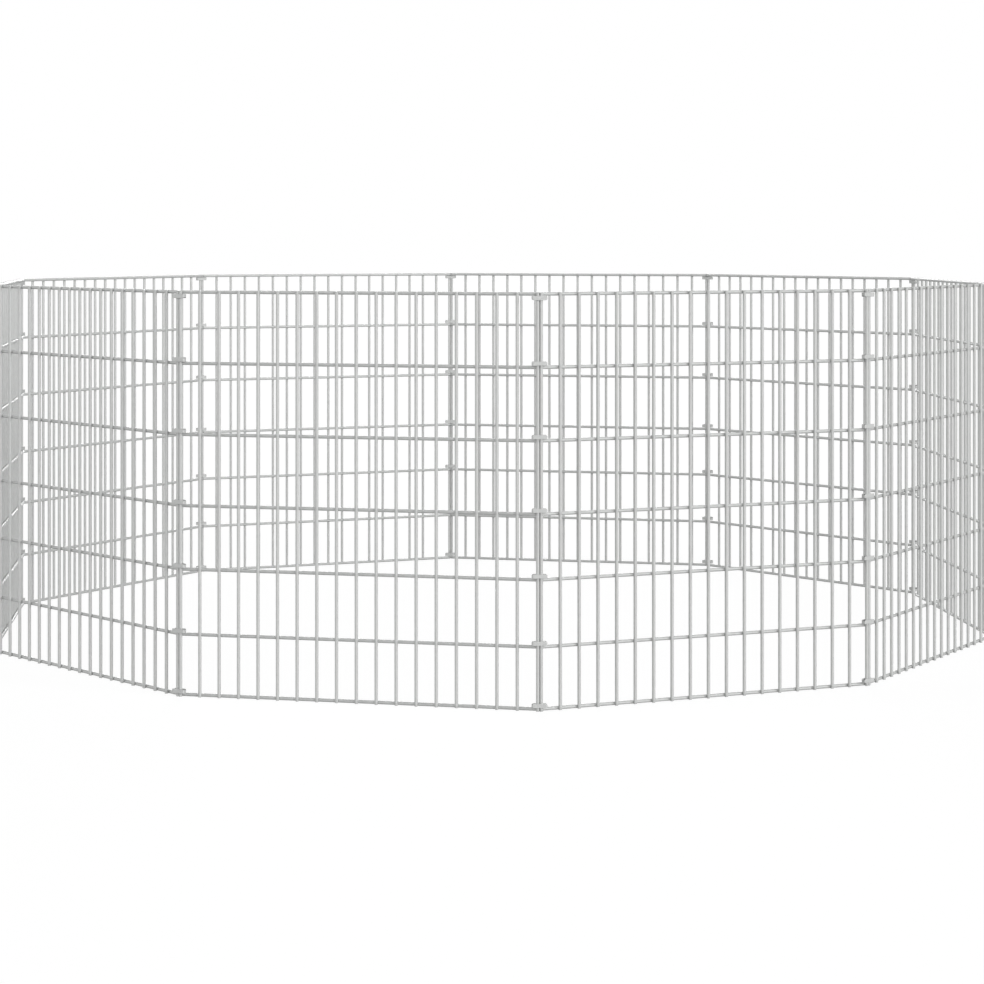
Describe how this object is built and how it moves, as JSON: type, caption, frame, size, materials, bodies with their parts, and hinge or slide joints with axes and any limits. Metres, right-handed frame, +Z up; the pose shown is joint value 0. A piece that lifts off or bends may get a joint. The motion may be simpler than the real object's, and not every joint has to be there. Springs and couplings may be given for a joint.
{
  "type": "animal pen",
  "caption": "Ring-shaped folding pen of welded wire panels, linked corner to corner by loose sheet-metal clips, open at the top and bottom.",
  "frame": {"origin": "middle of the ring, on the ground", "axes": "+Z up; +X towards the corner where the ring opens; -Y towards the middle of the panel that the picture shows in front"},
  "size_m": [1.7564, 1.6762, 0.5957],
  "materials": {
    "galvanised_wire": "galvanised",
    "galvanised_sheet": "galvanised"
  },
  "bodies": {
    "panel_01": {"panel_01": "galvanised_wire"},
    "panel_02": {"panel_02": "galvanised_wire"},
    "panel_03": {"panel_03": "galvanised_wire"},
    "panel_04": {"panel_04": "galvanised_wire"},
    "panel_05": {"panel_05": "galvanised_wire"},
    "panel_06": {"panel_06": "galvanised_wire"},
    "panel_07": {"panel_07": "galvanised_wire"},
    "panel_08": {"panel_08": "galvanised_wire"},
    "panel_09": {"panel_09": "galvanised_wire"},
    "panel_10": {"panel_10": "galvanised_wire", "corner_10_clip_1": "galvanised_sheet", "corner_10_clip_2": "galvanised_sheet", "corner_10_clip_4": "galvanised_sheet", "corner_10_clip_6": "galvanised_sheet", "corner_10_clip_7": "galvanised_sheet"},
    "clips_01": {"corner_01_clip_1": "galvanised_sheet", "corner_01_clip_2": "galvanised_sheet", "corner_01_clip_4": "galvanised_sheet", "corner_01_clip_6": "galvanised_sheet", "corner_01_clip_7": "galvanised_sheet"},
    "clips_02": {"corner_02_clip_1": "galvanised_sheet", "corner_02_clip_2": "galvanised_sheet", "corner_02_clip_4": "galvanised_sheet", "corner_02_clip_6": "galvanised_sheet", "corner_02_clip_7": "galvanised_sheet"},
    "clips_03": {"corner_03_clip_1": "galvanised_sheet", "corner_03_clip_2": "galvanised_sheet", "corner_03_clip_4": "galvanised_sheet", "corner_03_clip_6": "galvanised_sheet", "corner_03_clip_7": "galvanised_sheet"},
    "clips_04": {"corner_04_clip_1": "galvanised_sheet", "corner_04_clip_2": "galvanised_sheet", "corner_04_clip_4": "galvanised_sheet", "corner_04_clip_6": "galvanised_sheet", "corner_04_clip_7": "galvanised_sheet"},
    "clips_05": {"corner_05_clip_1": "galvanised_sheet", "corner_05_clip_2": "galvanised_sheet", "corner_05_clip_4": "galvanised_sheet", "corner_05_clip_6": "galvanised_sheet", "corner_05_clip_7": "galvanised_sheet"},
    "clips_06": {"corner_06_clip_1": "galvanised_sheet", "corner_06_clip_2": "galvanised_sheet", "corner_06_clip_4": "galvanised_sheet", "corner_06_clip_6": "galvanised_sheet", "corner_06_clip_7": "galvanised_sheet"},
    "clips_07": {"corner_07_clip_1": "galvanised_sheet", "corner_07_clip_2": "galvanised_sheet", "corner_07_clip_4": "galvanised_sheet", "corner_07_clip_6": "galvanised_sheet", "corner_07_clip_7": "galvanised_sheet"},
    "clips_08": {"corner_08_clip_1": "galvanised_sheet", "corner_08_clip_2": "galvanised_sheet", "corner_08_clip_4": "galvanised_sheet", "corner_08_clip_6": "galvanised_sheet", "corner_08_clip_7": "galvanised_sheet"},
    "clips_09": {"corner_09_clip_1": "galvanised_sheet", "corner_09_clip_2": "galvanised_sheet", "corner_09_clip_4": "galvanised_sheet", "corner_09_clip_6": "galvanised_sheet", "corner_09_clip_7": "galvanised_sheet"}
  },
  "joints": [
    {"name": "corner_06_fold", "type": "hinge", "parent": "panel_06", "child": "panel_07", "pos_m": [-0.70153, -0.50969, 0], "axis": [0, 0, 1], "range_deg": [0, 140]},
    {"name": "corner_06_clip_turn", "type": "hinge", "parent": "panel_06", "child": "clips_06", "pos_m": [-0.70731, -0.50746, 0], "axis": [0, 0, 1], "range_deg": [0, 70]},
    {"name": "corner_07_fold", "type": "hinge", "parent": "panel_07", "child": "panel_08", "pos_m": [-0.27134, -0.8351, 0], "axis": [0, 0, -1], "range_deg": [0, 210]},
    {"name": "corner_07_clip_turn", "type": "hinge", "parent": "panel_07", "child": "clips_07", "pos_m": [-0.27269, -0.83042, 0], "axis": [0, 0, -1], "range_deg": [0, 105]},
    {"name": "corner_08_fold", "type": "hinge", "parent": "panel_08", "child": "panel_09", "pos_m": [0.26796, -0.8247, 0], "axis": [0, 0, 1], "range_deg": [0, 140]},
    {"name": "corner_08_clip_turn", "type": "hinge", "parent": "panel_08", "child": "clips_08", "pos_m": [0.26405, -0.8295, 0], "axis": [0, 0, 1], "range_deg": [0, 70]},
    {"name": "corner_09_fold", "type": "hinge", "parent": "panel_09", "child": "panel_10", "pos_m": [0.71038, -0.51612, 0], "axis": [0, 0, -1], "range_deg": [0, 210]},
    {"name": "corner_09_clip_turn", "type": "hinge", "parent": "panel_09", "child": "clips_09", "pos_m": [0.70551, -0.51595, 0], "axis": [0, 0, -1], "range_deg": [0, 105]},
    {"name": "corner_05_fold", "type": "hinge", "parent": "panel_06", "child": "panel_05", "pos_m": [-0.87808, 0, 0], "axis": [0, 0, 1], "range_deg": [0, 210]},
    {"name": "corner_05_clip_turn", "type": "hinge", "parent": "panel_06", "child": "clips_05", "pos_m": [-0.87404, -0.00273, 0], "axis": [0, 0, 1], "range_deg": [0, 105]},
    {"name": "corner_04_fold", "type": "hinge", "parent": "panel_05", "child": "panel_04", "pos_m": [-0.70153, 0.50969, 0], "axis": [0, 0, -1], "range_deg": [0, 140]},
    {"name": "corner_04_clip_turn", "type": "hinge", "parent": "panel_05", "child": "clips_04", "pos_m": [-0.70731, 0.50746, 0], "axis": [0, 0, -1], "range_deg": [0, 70]},
    {"name": "corner_03_fold", "type": "hinge", "parent": "panel_04", "child": "panel_03", "pos_m": [-0.27134, 0.8351, 0], "axis": [0, 0, 1], "range_deg": [0, 210]},
    {"name": "corner_03_clip_turn", "type": "hinge", "parent": "panel_04", "child": "clips_03", "pos_m": [-0.27269, 0.83042, 0], "axis": [0, 0, 1], "range_deg": [0, 105]},
    {"name": "corner_02_fold", "type": "hinge", "parent": "panel_03", "child": "panel_02", "pos_m": [0.26796, 0.8247, 0], "axis": [0, 0, -1], "range_deg": [0, 140]},
    {"name": "corner_02_clip_turn", "type": "hinge", "parent": "panel_03", "child": "clips_02", "pos_m": [0.26405, 0.8295, 0], "axis": [0, 0, -1], "range_deg": [0, 70]},
    {"name": "corner_01_fold", "type": "hinge", "parent": "panel_02", "child": "panel_01", "pos_m": [0.71038, 0.51612, 0], "axis": [0, 0, 1], "range_deg": [0, 210]},
    {"name": "corner_01_clip_turn", "type": "hinge", "parent": "panel_02", "child": "clips_01", "pos_m": [0.70551, 0.51595, 0], "axis": [0, 0, 1], "range_deg": [0, 105]}
  ],
  "couplings": [
    {"joint": "corner_06_clip_turn", "follows": "corner_06_fold", "ratio": 0.5},
    {"joint": "corner_07_fold", "follows": "corner_06_fold", "ratio": 1.5},
    {"joint": "corner_07_clip_turn", "follows": "corner_06_fold", "ratio": 0.75},
    {"joint": "corner_08_fold", "follows": "corner_06_fold", "ratio": 1},
    {"joint": "corner_08_clip_turn", "follows": "corner_06_fold", "ratio": 0.5},
    {"joint": "corner_09_fold", "follows": "corner_06_fold", "ratio": 1.5},
    {"joint": "corner_09_clip_turn", "follows": "corner_06_fold", "ratio": 0.75},
    {"joint": "corner_05_fold", "follows": "corner_06_fold", "ratio": 1.5},
    {"joint": "corner_05_clip_turn", "follows": "corner_06_fold", "ratio": 0.75},
    {"joint": "corner_04_fold", "follows": "corner_06_fold", "ratio": 1},
    {"joint": "corner_04_clip_turn", "follows": "corner_06_fold", "ratio": 0.5},
    {"joint": "corner_03_fold", "follows": "corner_06_fold", "ratio": 1.5},
    {"joint": "corner_03_clip_turn", "follows": "corner_06_fold", "ratio": 0.75},
    {"joint": "corner_02_fold", "follows": "corner_06_fold", "ratio": 1},
    {"joint": "corner_02_clip_turn", "follows": "corner_06_fold", "ratio": 0.5},
    {"joint": "corner_01_fold", "follows": "corner_06_fold", "ratio": 1.5},
    {"joint": "corner_01_clip_turn", "follows": "corner_06_fold", "ratio": 0.75}
  ]
}
